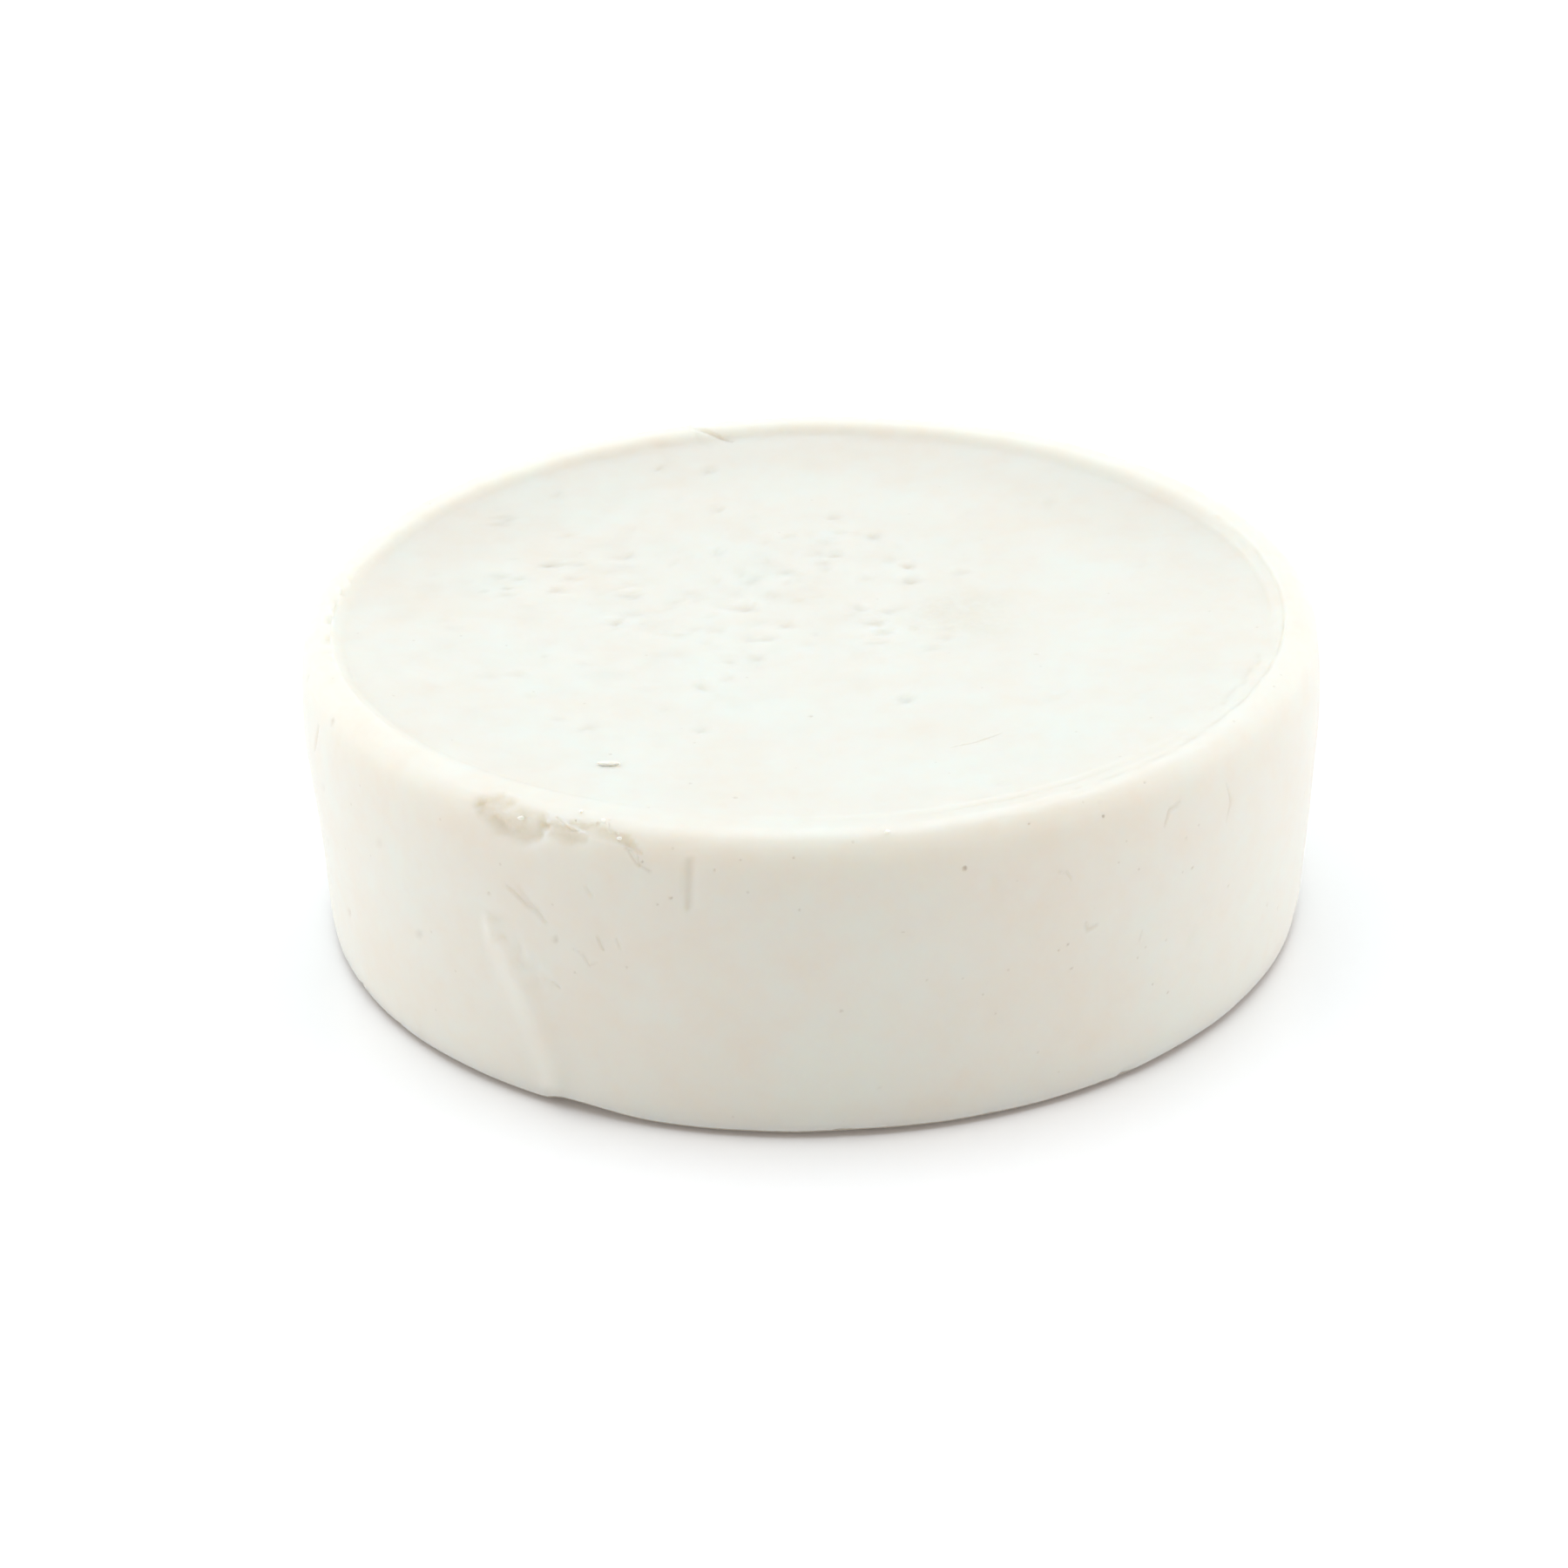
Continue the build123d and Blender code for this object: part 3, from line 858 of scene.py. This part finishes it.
surface = add_node(tree, "ShaderNodeBsdfPrincipled",
                   {"IOR": SOAP_IOR, "Roughness": FRAGMENT_ROUGHNESS, "Subsurface Weight": 0.8,
                    "Subsurface Scale": 0.4 * MM, "Subsurface Radius": (1.0, 0.8, 0.6)},
                   {"Base Color": crumb_colour.outputs["Color"], "Normal": crumb_bump.outputs["Normal"]})
add_node(tree, "ShaderNodeOutputMaterial", links={"Surface": surface.outputs["BSDF"]})
flake_mesh.materials.append(fragment)

# ---------------------------------------------------------------------------------------------
# Edge crumbs
# Separate grains that broke off the rim. They cling in the chip, beside it and on the front of the rim.
# ---------------------------------------------------------------------------------------------
CRUMBS = [      # where each lies, its size and its turn
    (beside(237.0, 37.05, 22.55), 0.60, 20), (beside(243.6, 36.2, 23.45), 0.45, 70),
    (beside(246.8, 36.6, 23.4), 0.60, 140), (beside(248.9, 37.45, 22.65), 0.50, 10),
    (beside(277.4, 36.4, 23.45), 0.55, 50),
]
CRUMB_RISE = 0.22               # its middle above the soap, as a share of its size
CRUMB_CORNERS = 18
crumbs_mesh = bpy.data.meshes.new("rim_crumbs")
together = bmesh.new()
for number, (spot, size, turn) in enumerate(CRUMBS):
    seat, up = touching(spot)
    middle = Vector(seat + CRUMB_RISE * size * up) * MM
    one = lump(middle, (size, size * 0.75, size * 0.65), turn, 40 + number, CRUMB_CORNERS)
    one.to_mesh(crumbs_mesh)
    one.free()
    together.from_mesh(crumbs_mesh)
together.to_mesh(crumbs_mesh)
together.free()
crumbs_mesh.polygons.foreach_set("use_smooth", [True] * len(crumbs_mesh.polygons))
crumbs_mesh.materials.append(fragment)
crumbs = bpy.data.objects.new("rim_crumbs", crumbs_mesh)
bpy.context.scene.collection.objects.link(crumbs)
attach(crumbs, "root")
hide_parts("edge_crumbs")

# ---------------------------------------------------------------------------------------------
# Table, lamps and camera
# A plain white laminate table under one large, slightly cool lamp, which hangs above and a little behind
# the puck. White walls at the left and the right give the room most of its light, and the front little.
# ---------------------------------------------------------------------------------------------
TABLE_SIZE = 6.0                # in metres, as are the lamp's place and size
half_table = TABLE_SIZE / 2
table_mesh = bpy.data.meshes.new("table_top")
table_mesh.from_pydata([(-half_table, -half_table, 0), (half_table, -half_table, 0),
                        (half_table, half_table, 0), (-half_table, half_table, 0)], [], [(0, 1, 2, 3)])
table = bpy.data.objects.new("table_top", table_mesh)
bpy.context.scene.collection.objects.link(table)

# White laminate, pressed satin smooth: an even white with a soft sheen. It glows very slightly, which
# stands for the light that it gets back from a white room.
laminate = bpy.data.materials.new("white_laminate_satin")
laminate.use_nodes = True
board = laminate.node_tree.nodes["Principled BSDF"]
board.inputs["Base Color"].default_value = linear("#FAFAFA")
board.inputs["Roughness"].default_value = 0.3
board.inputs["Emission Color"].default_value = (1, 1, 1, 1)
board.inputs["Emission Strength"].default_value = 0.075
table_mesh.materials.append(laminate)


def lamp(name, place, aim, size, power, colour):
    """A square soft lamp, placed and aimed in metres."""
    light = bpy.data.lights.new(name, "AREA")
    light.shape = "SQUARE"
    light.size = size
    light.energy = power
    light.color = colour
    holder = bpy.data.objects.new(name, light)
    holder.location = place
    holder.rotation_euler = (Vector(aim) - Vector(place)).to_track_quat("-Z", "Y").to_euler()
    bpy.context.scene.collection.objects.link(holder)


LAMP_PLACE = (-0.05, 0.21, 0.88)
LAMP_SIZE = 1.2
LAMP_WATTS = 8.95
LAMP_COLOUR = (0.82, 0.895, 0.97)
lamp("lamp_overhead", LAMP_PLACE, (0, 0, 0), LAMP_SIZE, LAMP_WATTS, LAMP_COLOUR)

# The white room round it: the axis and sign of each side, how narrowly its light is gathered round that
# direction, and how much light of what colour comes from it
ROOM_LIGHT = {
    "behind": ("Y", 1.0, 1.0, (0.28, 0.33, 0.30)),
    "front": ("Y", -1.0, 1.0, (0.14, 0.08, 0.01)),
    "left": ("X", -1.0, 2.0, (2.16, 2.16, 2.20)),
    "right": ("X", 1.0, 2.0, (2.27, 2.24, 2.28)),
}
world = bpy.data.worlds.new("white_room")
bpy.context.scene.world = world
world.use_nodes = True
tree = world.node_tree
tree.nodes.clear()
direction = add_node(tree, "ShaderNodeTexCoord").outputs["Generated"]
split = add_node(tree, "ShaderNodeSeparateXYZ", links={"Vector": direction})
total = None
for side, (axis, sign, narrowness, colour) in ROOM_LIGHT.items():
    facing = add_node(tree, "ShaderNodeMath", {"operation": "MULTIPLY", "use_clamp": True, 1: sign},
                      {0: split.outputs[axis]})
    share = add_node(tree, "ShaderNodeMath", {"operation": "POWER", 1: narrowness},
                     {0: facing.outputs["Value"]})
    node = add_node(tree, "ShaderNodeVectorMath",
                    {"operation": "MULTIPLY_ADD", "label": side, 1: colour}, {0: share.outputs["Value"]})
    if total:
        tree.links.new(total, node.inputs[2])
    total = node.outputs["Vector"]
backdrop = add_node(tree, "ShaderNodeBackground", {"Strength": 1.0}, {"Color": total})
add_node(tree, "ShaderNodeOutputWorld", links={"Surface": backdrop.outputs["Background"]})

# The camera looks down on the puck from the front, square on, with the picture turned a little
SENSOR_WIDTH = 36.0
CAMERA_DISTANCE = 342.0
CAMERA_ELEVATION = 27.31
CAMERA_ROLL = -1.41
CAMERA_LENS = 103.5
CAMERA_AIM = Vector((-2.14, 0.0, 8.86))
camera_data = bpy.data.cameras.new("camera")
camera_data.lens = CAMERA_LENS
camera_data.sensor_width = SENSOR_WIDTH
camera_data.clip_start = 0.01
camera_data.clip_end = 50.0
camera = bpy.data.objects.new("camera", camera_data)
rise_angle = math.radians(CAMERA_ELEVATION)
backwards = Vector((0.0, -math.cos(rise_angle), math.sin(rise_angle)))
camera.location = (CAMERA_AIM + backwards * CAMERA_DISTANCE) * MM
level = backwards.to_track_quat("Z", "Y").to_matrix()
camera.rotation_euler = (level @ Matrix.Rotation(math.radians(CAMERA_ROLL), 3, "Z")).to_euler()
bpy.context.scene.collection.objects.link(camera)
bpy.context.scene.camera = camera
bpy.context.scene.view_settings.view_transform = "Standard"
